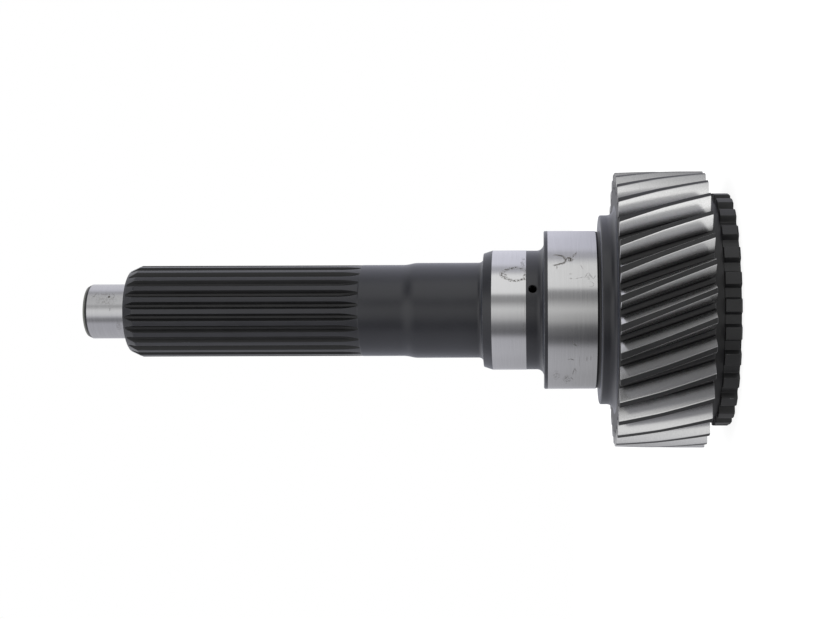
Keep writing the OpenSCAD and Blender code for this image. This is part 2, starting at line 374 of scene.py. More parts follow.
def repeatTree():
    tree = bpy.data.node_groups.new("repeatAroundAxis", "GeometryNodeTree")
    sockets = [
        ("Pitch", "INPUT", "Geometry"), ("Copies", "INPUT", "Int"), ("Weld Distance", "INPUT", "Float"),
        ("Body Finish", "INPUT", "Material"), ("Cut Finish", "INPUT", "Material"),
        ("Ring", "OUTPUT", "Geometry"),
    ]
    for label, side, kind in sockets:
        tree.interface.new_socket(label, in_out=side, socket_type="NodeSocket" + kind)
    given = addNode(tree, "NodeGroupInput").outputs
    index = placeNode(tree, "GeometryNodeInputIndex", "Index", {})
    angle = maths(tree, "MULTIPLY", index, maths(tree, "DIVIDE", 2 * pi, given["Copies"]))
    turned = placeNode(tree, "ShaderNodeCombineXYZ", "Vector", {"Z": angle})
    points = placeNode(tree, "GeometryNodePoints", "Points", {"Count": given["Copies"]})
    placed = {"Points": points, "Instance": given["Pitch"], "Rotation": turned}
    copies = placeNode(tree, "GeometryNodeInstanceOnPoints", "Instances", placed)
    ring = placeNode(tree, "GeometryNodeRealizeInstances", "Geometry", {"Geometry": copies})
    apart = {"Geometry": ring, "Distance": given["Weld Distance"]}
    ring = placeNode(tree, "GeometryNodeMergeByDistance", "Geometry", apart)
    body = {"Geometry": ring, "Material": given["Body Finish"]}
    ring = placeNode(tree, "GeometryNodeSetMaterial", "Geometry", body)
    isCut = placeNode(
        tree, "GeometryNodeInputNamedAttribute", "Attribute", {"Name": "cut"}, data_type="BOOLEAN")
    cut = {"Geometry": ring, "Selection": isCut, "Material": given["Cut Finish"]}
    ring = placeNode(tree, "GeometryNodeSetMaterial", "Geometry", cut)
    feed(tree, addNode(tree, "NodeGroupOutput").inputs["Ring"], ring)
    return tree


def pitchObject(name, levels, cuts):
    # levels go from the pilot's side down; each is a list of (x, y, z, wear), and cuts says which
    # strips between two columns have the cut's finish.
    mesh = bpy.data.meshes.new(name)
    width = len(levels[0])
    points = [p[:3] for level in levels for p in level]
    faces = []
    for k in range(len(levels) - 1):
        for i in range(width - 1):
            a, b = k * width + i, (k + 1) * width + i
            faces.append((a, b, b + 1, a + 1))
    mesh.from_pydata(points, [], faces)
    wear = mesh.attributes.new("wear", "FLOAT", "POINT")
    wear.data.foreach_set("value", [p[3] for level in levels for p in level])
    flags = mesh.attributes.new("cut", "BOOLEAN", "FACE")
    flags.data.foreach_set("value", cuts * (len(levels) - 1))
    return addObject(name, mesh)


def addRing(bm, tree, name, shape, copies, body, cut):
    # Repeats one pitch, adds the result to bm and returns its upper and lower rings. Body and cut
    # are the finishes of its two kinds of strips.
    levels, cuts = shape
    pitch = pitchObject(name, levels, cuts)
    modifier = pitch.modifiers.new("repeat", "NODES")
    modifier.node_group = tree
    values = {"Copies": copies, "Weld Distance": weldDistance,
              "Body Finish": materials[body], "Cut Finish": materials[cut]}
    for item in tree.interface.items_tree:
        if item.name in values:
            modifier[item.identifier] = values[item.name]
    mesh = evaluatedMesh(pitch)
    order = {materials[f].name: i for i, f in enumerate(finishes)}
    slots = [order[m.name] if m else 0 for m in mesh.materials]
    before = len(bm.faces)
    bm.from_mesh(mesh)
    bm.faces.ensure_lookup_table()
    for face in bm.faces[before:]:
        face.material_index = slots[face.material_index]
    edges = {e for face in bm.faces[before:] for e in face.edges if e.is_boundary}
    edgePoints = {v for e in edges for v in e.verts}
    middle = (levels[0][0][2] + levels[-1][0][2]) / 2
    bpy.data.objects.remove(pitch)
    print(name, "repeated", copies, "times:", len(bm.faces) - before, "faces")
    return (sortedRing([v for v in edgePoints if v.co.z > middle]),
            sortedRing([v for v in edgePoints if v.co.z < middle]))


def hubRing(bm, outline, radius):
    # A round ring under an outline, one point for each of its own
    ring = []
    for v in outline:
        angle = atan2(v.co.y, v.co.x)
        ring.append(bm.verts.new((radius * cos(angle), radius * sin(angle), v.co.z)))
    return ring


gear = {
    "teeth": 32,
    "module": 4.25,
    "helix": 20.2,
    "pressure": 22.5,
    "shift": 0.1,
    "dedendum": 1.25,       # modules
    "foot": 14.2,
    "width": 49.3,
    "tipBreak": 0.15,
    "tipWear": 0.85,
    "endBevel": 0.3,
    "reliefWidth": 22.0,
    "reliefHeight": 0.7,
    "rootFillet": 1.3,
    "phase": -94.0,
    "edge": 0.2,
    "tipMargin": 0.35,
    "endMargin": 0.3,
    "flankSteps": 10,
    "filletSteps": 5,
    "slices": 24,
    "hubRadius": 65.8,
}


def gearLevels(g):
    teeth = g["teeth"]
    alpha = atan(tan(radians(g["pressure"])) / cos(radians(g["helix"])))
    pitchRadius = teeth * g["module"] / cos(radians(g["helix"])) / 2
    baseRadius = pitchRadius * cos(alpha)
    tipRadius = pitchRadius + g["module"] * (1 + g["shift"])
    rootRadius = pitchRadius - g["module"] * (g["dedendum"] - g["shift"])
    twist = degrees(g["width"] * tan(radians(g["helix"])) / pitchRadius)

    def involute(a):
        return degrees(tan(a) - a)

    def halfTooth(radius):
        middle = (90 + degrees(2 * g["shift"] * tan(radians(g["pressure"])))) / teeth
        return middle + involute(alpha) - involute(acos(baseRadius / radius))

    flankFoot = rootRadius + g["rootFillet"]

    def toothSide(tip):
        # From the middle of the gap up one flank to the tip: radius, angle, wear and whether the
        # strip that follows has the cut's finish
        flankTop = tip - g["tipBreak"]
        side = [(rootRadius, 180 / teeth, 0.0, False)]
        for i in range(g["filletSteps"]):
            t = radians(90 * (1 - i / g["filletSteps"]))
            spread = degrees(g["rootFillet"] * (1 - cos(t)) / rootRadius)
            radius = rootRadius + g["rootFillet"] * (1 - sin(t))
            side.append((radius, halfTooth(flankFoot) + spread, 0.0, False))
        for i in range(g["flankSteps"] + 1):
            radius = flankFoot + (flankTop - g["tipMargin"] - flankFoot) * i / g["flankSteps"]
            side.append((radius, halfTooth(radius), 0.0, True))
        land = halfTooth(flankTop) - degrees(g["tipBreak"] / tip)
        side.append((flankTop, halfTooth(flankTop), g["tipWear"], True))
        side.append((tip, land, g["tipWear"], False))
        side.append((tip, land * 0.6, 0.0, False))      # keeps the wear at the edge
        return side

    edge, width, bevel = g["edge"], g["width"], g["endBevel"]
    first, last = bevel + g["endMargin"], width - bevel - g["endMargin"]
    heights = [0, edge, bevel, width - bevel, width - edge, width]
    heights += [first + (last - first) * i / g["slices"] for i in range(g["slices"] + 1)]
    levels = []
    for h in sorted(heights, reverse=True):
        nearEnd = max(min(h, width - h), edge)
        relief = g["reliefHeight"] * max(0, 1 - (width - h) / g["reliefWidth"])
        side = toothSide(tipRadius - relief)
        limit = tipRadius - relief - max(bevel - nearEnd, 0)
        turned = g["phase"] - twist * h / width
        columns = [(r, -a, worn) for r, a, worn, _ in side] + [(limit, 0.0, 0.0)]
        columns += [(r, a, worn) for r, a, worn, _ in side[::-1]]
        outline = [polar(min(r, limit), a + turned) for r, a, worn in columns]
        if h in (0, width):
            outline = inset(outline, 360 / teeth, edge)
        rim = 1.0 if nearEnd <= edge else 0.0
        levels.append([(p.x, p.y, g["foot"] + h, max(c[2], rim)) for p, c in zip(outline, columns)])
    cuts = [row[3] for row in side]
    return levels, cuts + cuts[::-1]


clutchSpline = {
    "teeth": 24,
    "tipRadius": 25.4,
    "foot": 204.2,
    "top": 332.9,
    "depth": 2.1,
    "rootWidth": 1.3,
    "mouthWidth": 4.3,
    "runoutRadius": 30.0,
    "leadWidth": 5.7,
    "leadHeight": 2.7,
    "leadStep": 0.1,
    "leadDrop": 0.06,
    "leastDepth": 0.02,
    "runoutSteps": 14,
    "phase": -90.5,
    "mouthRounding": 0.2,
    "rootRounding": 0.35,
}


def splineLevels(s):
    pitch = 360 / s["teeth"]
    slope = (s["mouthWidth"] - s["rootWidth"]) / 2 / s["depth"]
    half = s["rootWidth"] / 2

    def outline(tip, depth):
        # One groove between the middles of two teeth
        share = min(depth / s["depth"], 1)
        root = tip - depth
        rise = depth
        for i in range(4):      # settles within a few rounds
            rise = sqrt(tip ** 2 - (half + rise * slope) ** 2) - root
        rootCorner = Vector((root, -half))
        mouth = Vector((root + rise, -half - rise * slope))
        mouthAngle = degrees(atan2(mouth.y, mouth.x))
        before = polar(tip, mouthAngle - 2)
        mouthArc = roundedCorner(before, mouth, rootCorner, s["mouthRounding"] * share, 3)
        rootArc = roundedCorner(mouth, rootCorner, Vector((root, 0)), s["rootRounding"] * share, 3)
        start = degrees(atan2(mouthArc[0].y, mouthArc[0].x))
        land = [polar(tip, -pitch / 2 + (start + pitch / 2) * t) for t in (0, 0.45, 0.9)]
        wall = [mouthArc[-1].lerp(rootArc[0], t) for t in (0.33, 0.67)]
        left = land + mouthArc + wall + rootArc
        return left + [Vector((root, 0))] + [Vector((p.x, -p.y)) for p in reversed(left)]

    # The four points of a groove's mouth are worn, and its own finish starts at the last of them.
    wornColumns = {3: 0.8, 4: 1.0, 5: 1.0, 6: 0.8}
    leadFoot = s["top"] - s["leadWidth"]
    rootRadius = s["tipRadius"] - s["depth"]
    leadSlope = s["leadWidth"] / s["leadHeight"]
    first = s["top"] - leadSlope * (rootRadius - s["tipRadius"] + s["leadHeight"])
    # Each station is a height, the tips' radius there and the grooves' depth.
    stations = [(first, rootRadius + s["leastDepth"], s["leastDepth"])]
    for t in (0.12, 0.3, 0.5, 0.7, 0.88, 0.96):
        stations.append((first + (leadFoot - first) * t, rootRadius + s["depth"] * t, s["depth"] * t))
    stations.append((leadFoot + s["leadStep"], s["tipRadius"] - s["leadDrop"], s["depth"] - s["leadDrop"]))
    stations.append((leadFoot - s["leadStep"], s["tipRadius"], s["depth"]))
    stations.append((leadFoot - s["leadStep"] * 5, s["tipRadius"], s["depth"]))
    runout = sqrt(s["runoutRadius"] ** 2 - (s["runoutRadius"] - s["depth"]) ** 2)
    for i in range(s["runoutSteps"] + 1):
        along = runout * i / s["runoutSteps"]
        rise = s["runoutRadius"] - sqrt(s["runoutRadius"] ** 2 - along ** 2)
        deep = max(s["depth"] - rise, s["leastDepth"])
        stations.append((s["foot"] + runout - along, s["tipRadius"], deep))
    levels = []
    for height, tip, depth in stations:
        level = []
        points = outline(tip, depth)
        last = len(points) - 1
        for i, p in enumerate(points):
            q = Matrix.Rotation(radians(s["phase"] + pitch / 2), 2) @ p
            share = 1.0 if height > leadFoot - 1 else 0.5       # the lead is worn more
            worn = wornColumns.get(min(i, last - i), 0.0) * share
            level.append((q.x, q.y, height, worn))
        levels.append(level)
    mouth = max(wornColumns)
    return levels, [mouth <= i < last - mouth for i in range(last)]


dogRing = {
    "teeth": 28,
    "tipRadius": 65.0,
    "toothHeight": 3.5,
    "landWidth": 6.4,
    "flankSlope": 18.5,
    "width": 8.8,
    "bevelWidth": 0.8,
    "bevelHeight": 0.5,
    "phase": -88.3,
    "tipRounding": 0.3,
    "rootRounding": 0.5,
    "edge": 0.2,
    "margin": 0.3,
    "edgeWear": 0.7,
    "hubRadius": 61.15,
}


def dogLevels(d):
    pitch = 360 / d["teeth"]
    slope = tan(radians(d["flankSlope"]))
    tip, root = d["tipRadius"], d["tipRadius"] - d["toothHeight"]

    def meet(radius):
        # Where the tooth's side crosses the circle of that radius
        x = radius
        for i in range(4):      # settles within a few rounds
            x = sqrt(radius ** 2 - (d["landWidth"] / 2 + (tip - x) * slope) ** 2)
        return Vector((x, -d["landWidth"] / 2 - (tip - x) * slope))

    rootCorner, tipCorner = meet(root), meet(tip)
    rootAngle = degrees(atan2(rootCorner.y, rootCorner.x))
    tipAngle = degrees(atan2(tipCorner.y, tipCorner.x))
    rootArc = roundedCorner(polar(root, rootAngle - 1), rootCorner, tipCorner, d["rootRounding"], 4)
    tipArc = roundedCorner(rootCorner, tipCorner, polar(tip, tipAngle + 2), d["tipRounding"], 4)
    wall = [rootArc[-1].lerp(tipArc[0], t) for t in (0.33, 0.67)]
    land = [polar(tip, tipAngle * t) for t in (0.8, 0.4)]
    floor = [polar(root, -pitch / 2), polar(root, (rootAngle - pitch / 2) / 2)]
    left = floor + rootArc + wall + tipArc + land
    outline = left + [Vector((tip, 0))] + [Vector((p.x, -p.y)) for p in reversed(left)]
    worn = [0.0] * len(floor + rootArc + wall) + [d["edgeWear"]] * len(tipArc) + [0.0] * len(land)
    worn = worn + [0.0] + worn[::-1]
    turn = Matrix.Rotation(radians(d["phase"]), 2)
    edge, margin = d["edge"], d["margin"]
    levels = []
    width, bevel = d["width"], d["bevelWidth"]
    for height in (width, width - edge, width - edge - margin, bevel + margin, bevel, edge, 0):
        limit = tip - d["bevelHeight"] * max(bevel - max(height, edge), 0) / bevel
        shape = outline
        rim = 0.0
        if height in (width, 0):
            shape = inset(outline, pitch, edge)
            limit -= edge
        shape = [p * min(1, limit / p.length) for p in shape]
        if height in (width, width - edge, edge, 0):
            rim = d["edgeWear"]
        level = []
        for p, w in zip(shape, worn):
            q = turn @ p
            level.append((q.x, q.y, height, max(w, rim)))
        levels.append(level)
    return levels, [False] * (len(outline) - 1)


# Shader groups

def shaderGroup(name, inputs, outputs):
    # A new group, its inputs' sockets, and the node that takes its outputs
    kinds = {"vector": "NodeSocketVector", "value": "NodeSocketFloat"}
    group = bpy.data.node_groups.new(name, "ShaderNodeTree")
    for label, kind in inputs.items():
        group.interface.new_socket(label, in_out="INPUT", socket_type=kinds[kind])
    for label in outputs:
        kind = "vector" if label == "Place" else "value"
        group.interface.new_socket(label, in_out="OUTPUT", socket_type=kinds[kind])
    return group, group.nodes.new("NodeGroupInput").outputs, group.nodes.new("NodeGroupOutput").inputs


def useGroup(tree, name, **values):
    # Inputs are given by their names without spaces, in camelCase.
    made = addNode(tree, "ShaderNodeGroup", node_tree=bpy.data.node_groups[name])
    for socket in made.inputs:
        key = socket.name.replace(" ", "")
        key = key[0].lower() + key[1:]
        if key in values:
            feed(tree, socket, values[key])
    return made.outputs


def makePlaceGroup():
    # A point's place on the turned body in millimetres: its height and the way around, 0 towards
    # the camera and positive upwards in the picture. The radius comes apart.
    tree, given, result = shaderGroup("placeOnBody", {"Object": "vector"}, ["Place", "Radius"])
    split = addNode(tree, "ShaderNodeSeparateXYZ")
    feed(tree, split.inputs["Vector"], given["Object"])
    x, y, z = split.outputs
    angle = maths(tree, "ARCTAN2", x, maths(tree, "MULTIPLY", y, -1))
    across = vectorMaths(tree, "MULTIPLY", given["Object"], (perMetre, perMetre, 0))
    radius = vectorMaths(tree, "LENGTH", across)
    flat = {"X": maths(tree, "MULTIPLY", z, perMetre), "Y": maths(tree, "MULTIPLY", angle, radius)}
    feed(tree, result["Place"], placeNode(tree, "ShaderNodeCombineXYZ", "Vector", flat))
    feed(tree, result["Radius"], radius)


def makeGrainGroup():
    # Fine grain and broad clouds, both from 0 to 1. Sizes are in millimetres.
    tree, given, result = shaderGroup(
        "steelGrain", {"Object": "vector", "Grain Size": "value", "Cloud Size": "value"},
        ["Grain", "Clouds"])
    for label, size, detail in (("Grain", "Grain Size", 2), ("Clouds", "Cloud Size", 3)):
        scaled = {0: given["Object"], "Scale": maths(tree, "DIVIDE", perMetre, given[size])}
        spot = placeNode(tree, "ShaderNodeVectorMath", "Vector", scaled, operation="SCALE")
        feed(tree, result[label], fade(tree, noise(tree, spot, detail), 0.3, 0.7))


def makeGrindingGroup():
    # Fine lines that a grinding wheel leaves around the axis, from 0 to 1
    tree, given, result = shaderGroup(
        "grindingLines", {"Object": "vector", "Line Width": "value"}, ["Lines"])
    slow = 45       # per metre, so that a line runs long
    stretch = {"X": slow, "Y": slow, "Z": maths(tree, "DIVIDE", perMetre, given["Line Width"])}
    stretch = placeNode(tree, "ShaderNodeCombineXYZ", "Vector", stretch)
    spot = vectorMaths(tree, "MULTIPLY", given["Object"], stretch)
    feed(tree, result["Lines"], fade(tree, noise(tree, spot, 2), 0.25, 0.75))


def makeWearGroup():
    # Where the edges have rubbed bright. Wear is the mesh's own attribute.
    tree, given, result = shaderGroup(
        "edgeWear", {"Wear": "value", "Grain": "value", "Clouds": "value", "Amount": "value"}, ["Mask"])
    rough = maths(tree, "ADD", maths(tree, "MULTIPLY", given["Grain"], 0.5),
                  maths(tree, "MULTIPLY", given["Clouds"], 0.5))
    limit = maths(tree, "SUBTRACT", maths(tree, "ADD", given["Wear"], given["Amount"]), 1)
    feed(tree, result["Mask"], fade(tree, maths(tree, "SUBTRACT", rough, limit), 0.12, -0.12))


def makeMarkGroup():
    # A dried drop, smear or thin scratch: a filled or ringed ellipse with a ragged, speckled edge.
    # Cut takes away its end towards the pilot.
    tree, given, result = shaderGroup("driedMark", {
        "Place": "vector", "Grain": "value", "Clouds": "value", "Middle": "vector", "Half Size": "vector",
        "Turn": "value", "Ring": "value", "Speckle": "value", "Cut": "value", "Strength": "value",
    }, ["Mask"])
    turned = {"Vector": vectorMaths(tree, "SUBTRACT", given["Place"], given["Middle"]),
              "Angle": given["Turn"]}
    turned = placeNode(tree, "ShaderNodeVectorRotate", "Vector", turned, rotation_type="Z_AXIS")
    local = vectorMaths(tree, "DIVIDE", turned, given["Half Size"])
    ragged = maths(tree, "MULTIPLY_ADD", given["Clouds"], 0.24, -0.12)
    distance = maths(tree, "ADD", vectorMaths(tree, "LENGTH", local), ragged)
    filled = fade(tree, distance, 1.1, 0.6)
    rim = fade(tree, maths(tree, "ABSOLUTE", maths(tree, "SUBTRACT", distance, 1)), 0.2, 0.04)
    shape = blend(tree, given["Ring"], filled, rim, "FLOAT")
    holes = maths(tree, "MULTIPLY", given["Speckle"], fade(tree, given["Grain"], 0.62, 0.38))
    mask = maths(tree, "MULTIPLY", shape, maths(tree, "SUBTRACT", 1, holes))
    along = placeNode(tree, "ShaderNodeSeparateXYZ", "X", {"Vector": local})
    kept = maths(tree, "SUBTRACT", given["Cut"], along)
    mask = maths(tree, "MULTIPLY", mask, fade(tree, kept, 0, 0.3))
    feed(tree, result["Mask"], maths(tree, "MULTIPLY", mask, given["Strength"]))


makePlaceGroup()
makeGrainGroup()
makeGrindingGroup()
makeWearGroup()
makeMarkGroup()


# Materials

blackFinish = {
    "dark": (0.0052, 0.0053, 0.0058),
    "pale": (0.0088, 0.0089, 0.0096),
    "worn": (0.22, 0.22, 0.23),
    "roughness": 0.42,
    "refraction": 1.6,
    "sheen": 0.0,
    "sheenTint": (1.0, 1.0, 1.0),
    "grainSize": 0.45,
    "cloudSize": 13.0,
    "relief": 0.00001,
    "wear": 0.42,
}
dullFinish = {
    "dark": (0.0075, 0.0078, 0.0112),
    "pale": (0.012, 0.0126, 0.017),
    "worn": (0.22, 0.22, 0.23),
    "roughness": 0.32,
    "refraction": 1.66,
    "sheen": 0.15,
    "sheenTint": (0.74, 0.8, 1.0),
    "grainSize": 0.45,
    "cloudSize": 16.0,
    "relief": 0.00001,
    "wear": 0.3,
}
splineFinish = {**dullFinish, "refraction": 1.63, "sheenTint": (0.9, 0.93, 1.0)}
grooveFinish = {**blackFinish, "refraction": 1.55}
rubbedFinish = {**blackFinish, "dark": (0.1, 0.104, 0.09), "pale": (0.15, 0.155, 0.135)}
seatFinish = {
    "steel": (0.675, 0.675, 0.675),
    "pale": (0.735, 0.735, 0.735),
    "stain": (0.1, 0.088, 0.075),
    "roughness": 0.15,
    "lineWidth": 0.55,
    "uncut": 9,             # past the end of every mark
    "grainSize": 0.8,
    "cloudSize": 4.0,
}
flankFinish = {
    "steel": (0.72, 0.72, 0.72),
    "pale": (0.8, 0.8, 0.8),
    # root and the fade from darkUpTo to brightFrom darken the flank towards its root: partly its own
    # darker finish there, partly painted shade of the gap
    "root": (0.16, 0.16, 0.163),
    "roughness": 0.25,
    "darkUpTo": 66.5,
    "brightFrom": 72.5,
    # painted shade: how much darker the flank is where the next tooth mirrors it
    "inMirror": 0.35,
    "grainSize": 0.6,
    "cloudSize": 6.0,
}

# Marks on the ground seats: height and way around, half length and half width in millimetres, turn,
# ring or filled, speckle and strength, and where it ends towards the pilot, if it is cut off there
seatMarks = [
    (118.6, 21.0, 6.6, 4.5, 0, 1, 0.9, 0.95),
    (118.1, 20.9, 6.2, 4.0, 0, 1, 1.0, 0.6),
    (113.1, 19.0, 1.0, 2.9, 0, 0, 1.0, 0.8),
    (123.8, 20.1, 1.2, 1.5, 0, 0, 1.0, 0.6),
    (114.1, 29.8, 1.5, 5.0, 0, 0, 1.0, 0.4),
    (113.1, 0.8, 4.5, 0.3, -90, 0, 0.6, 0.2),
    (113.5, -10.2, 1.1, 3.4, 0, 0, 0.4, 0.25),
    (96.4, 28.9, 5.2, 3.6, 0, 1, 0.3, 0.95, 0.35),
    (95.8, 24.1, 1.6, 0.35, 90, 0, 0.3, 0.7),
    (89.1, 29.3, 2.5, 2.0, 0, 0, 1.0, 0.95),
    (86.2, 32.5, 3.0, 0.7, 58, 0, 0.7, 0.8),
    (88.4, 19.8, 1.0, 0.5, 0, 0, 0.6, 0.35),
    (88.4, 17.1, 1.0, 0.5, 0, 0, 0.6, 0.3),
    (83.7, 17.5, 2.8, 0.3, 13, 0, 0.5, 0.35),
    (80.1, 19.1, 2.2, 0.3, 58, 0, 0.3, 0.45),
    (77.8, 18.8, 2.6, 0.3, -57, 0, 0.3, 0.5),
    (75.8, 17.8, 1.5, 0.3, 58, 0, 0.3, 0.4),
    (78.5, 18.0, 1.9, 1.8, 0, 0, 0.8, 0.22),
    (77.9, 13.8, 1.5, 1.3, 0, 1, 0.6, 0.35, 0.5),
    (82.5, 24.1, 1.6, 0.3, -66, 0, 0.3, 0.3),
    (87.6, -17.6, 1.1, 0.3, -73, 0, 0.0, 0.5),
    (86.2, -19.3, 1.6, 0.35, -38, 0, 0.0, 0.7),
    (89.3, -28.4, 0.9, 0.3, 20, 0, 0.0, 0.45),
    (87.7, -28.6, 1.2, 0.35, -26, 0, 0.0, 0.65),
    (86.9, -38.0, 3.3, 0.35, 81, 0, 0.2, 0.6),
    (85.8, -36.6, 2.0, 0.35, -70, 0, 0.2, 0.5),
    (87.7, -44.4, 1.7, 0.4, -63, 0, 0.2, 0.55),
    (90.5, -45.8, 2.1, 5.0, 0, 0, 1.0, 0.55),
    (96.0, -41.9, 2.2, 5.0, 0, 0, 1.0, 0.25),
    (83.8, -29.8, 4.1, 0.3, -89, 0, 0.3, 0.2),
    (79.8, -28.3, 1.9, 0.3, -89, 0, 0.3, 0.45),
    (77.7, -27.8, 2.1, 0.3, -89, 0, 0.3, 0.35),
    (85.7, -37.6, 4.1, 0.3, -89, 0, 0.3, 0.2),
    (351.3, 8.8, 1.1, 0.35, 32, 0, 0.2, 0.65),
    (342.9, 8.5, 0.7, 0.8, 0, 0, 0.0, 0.95),
    (344.1, 5.8, 1.7, 0.3, 0, 0, 0.8, 0.45),
    (341.6, 8.8, 1.4, 1.7, 0, 1, 0.6, 0.55, 0.2),
    (341.8, 1.2, 1.2, 0.3, -89, 0, 0.0, 0.55),
    (337.6, -8.7, 1.8, 3.0, 0, 0, 0.6, 0.25),
    (344.6, 6.4, 6.0, 3.6, 0, 0, 1.0, 0.2),
    (345.2, 4.9, 4.2, 0.6, 0, 0, 1.0, 0.38),
    (345.8, 10.2, 5.4, 0.7, 0, 0, 1.0, 0.34),
    (350.4, 10.6, 1.4, 0.4, 60, 0, 0.5, 0.4),
]


def newMaterial(name, roughness):
    material = bpy.data.materials.new(name)
    material.use_nodes = True
    tree = material.node_tree
    shader = tree.nodes["Principled BSDF"]
    shader.inputs["Roughness"].default_value = roughness
    place = addNode(tree, "ShaderNodeTexCoord").outputs["Object"]
    return material, tree, shader.inputs, place


def coatedSteel(name, f):
    # Black oxide or phosphate over steel: a dark coat with soft gloss, rubbed bright at the edges
    material, tree, shader, spot = newMaterial(name, f["roughness"])
    shader["IOR"].default_value = f["refraction"]
    shader["Sheen Weight"].default_value = f["sheen"]
    shader["Sheen Tint"].default_value = (*f["sheenTint"], 1)
    grain = useGroup(tree, "steelGrain", object=spot, grainSize=f["grainSize"], cloudSize=f["cloudSize"])
    edges = addNode(tree, "ShaderNodeAttribute", attribute_name="wear").outputs["Fac"]
    worn = useGroup(
        tree, "edgeWear", wear=edges, grain=grain["Grain"], clouds=grain["Clouds"], amount=f["wear"])
    mottled = maths(tree, "ADD", maths(tree, "MULTIPLY", grain["Clouds"], 0.6),
                    maths(tree, "MULTIPLY", grain["Grain"], 0.4))
    oxide = blend(tree, mottled, f["dark"], f["pale"])
    feed(tree, shader["Base Color"], blend(tree, worn["Mask"], oxide, f["worn"]))
    feed(tree, shader["Metallic"], worn["Mask"])
    feed(tree, shader["Roughness"], maths(tree, "MULTIPLY_ADD", mottled, 0.08, f["roughness"] - 0.04))
    relief = {"Distance": f["relief"], "Height": grain["Grain"]}
    feed(tree, shader["Normal"], placeNode(tree, "ShaderNodeBump", "Normal", relief))
    return material


def groundSeat(f, marks):
    material, tree, shader, spot = newMaterial("groundSeat", f["roughness"])
    grain = useGroup(tree, "steelGrain", object=spot, grainSize=f["grainSize"], cloudSize=f["cloudSize"])
    lines = useGroup(tree, "grindingLines", object=spot, lineWidth=f["lineWidth"])["Lines"]
    place = useGroup(tree, "placeOnBody", object=spot)["Place"]
    stain = None
    for height, way, length, width, turn, ring, speckle, strength, *cut in marks:
        mark = useGroup(
            tree, "driedMark", place=place, grain=grain["Grain"], clouds=grain["Clouds"],
            middle=(height, way, 0), halfSize=(length, width, 1), turn=radians(turn), ring=ring,
            speckle=speckle, cut=cut[0] if cut else f["uncut"], strength=strength)["Mask"]
        stain = mark if stain is None else maths(tree, "MAXIMUM", stain, mark)
    steel = blend(tree, lines, f["steel"], f["pale"])
    feed(tree, shader["Base Color"], blend(tree, stain, steel, f["stain"]))
    feed(tree, shader["Metallic"], maths(tree, "MULTIPLY_ADD", stain, -0.15, 1.0))
    soft = maths(tree, "MULTIPLY_ADD", lines, 0.04, f["roughness"] - 0.02)
    feed(tree, shader["Roughness"], maths(tree, "MULTIPLY_ADD", stain, 0.3, soft))
    return material


def groundFlank(f):
    # Bright at the tooth's tip, and darker towards its root: partly its own darker finish there, partly
    # painted shade of the gap between the teeth. In the mirror of the next tooth it is darker still:
    # painted shade that keeps the gaps deep.
    material, tree, shader, spot = newMaterial("groundFlank", f["roughness"])
    shader["Metallic"].default_value = 1.0
    grain = useGroup(tree, "steelGrain", object=spot, grainSize=f["grainSize"], cloudSize=f["cloudSize"])
    radius = useGroup(tree, "placeOnBody", object=spot)["Radius"]
    # Darker towards the root: partly a darker finish there, partly painted shade of the gap
    fine = maths(tree, "MULTIPLY_ADD", grain["Grain"], 0.4, -0.55)
    ragged = maths(tree, "MULTIPLY_ADD", grain["Clouds"], 0.7, fine)
    brightShareWithPaintedShade = fade(tree, maths(tree, "ADD", radius, ragged), f["darkUpTo"], f["brightFrom"])
    # Painted shade: glossy rays see the flank darker, so the next tooth mirrors it dark and the gaps look
    # deep
    mirrored = placeNode(tree, "ShaderNodeLightPath", "Is Glossy Ray", {})
    share = maths(tree, "MULTIPLY_ADD", mirrored, -f["inMirror"], 1.0)
    brightShareWithPaintedShade = maths(tree, "MULTIPLY", brightShareWithPaintedShade, share)
    steel = blend(tree, grain["Grain"], f["steel"], f["pale"])
    feed(tree, shader["Base Color"], blend(tree, brightShareWithPaintedShade, f["root"], steel))
    feed(tree, shader["Roughness"], maths(tree, "MULTIPLY_ADD", brightShareWithPaintedShade, -0.1, f["roughness"] + 0.1))
    return material


materials = {
    "black": coatedSteel("blackedSteel", blackFinish),
    "dull": coatedSteel("phosphatedSteel", dullFinish),
    "seat": groundSeat(seatFinish, seatMarks),
    "flank": groundFlank(flankFinish),
    "spline": coatedSteel("splineSteel", splineFinish),
    "groove": coatedSteel("grooveSteel", grooveFinish),
    "rubbed": coatedSteel("rubbedSteel", rubbedFinish),
}
print("materials made:", sorted(m.name for m in materials.values()))


# The whole surface, from the pilot's centre down the outside and back up the bore

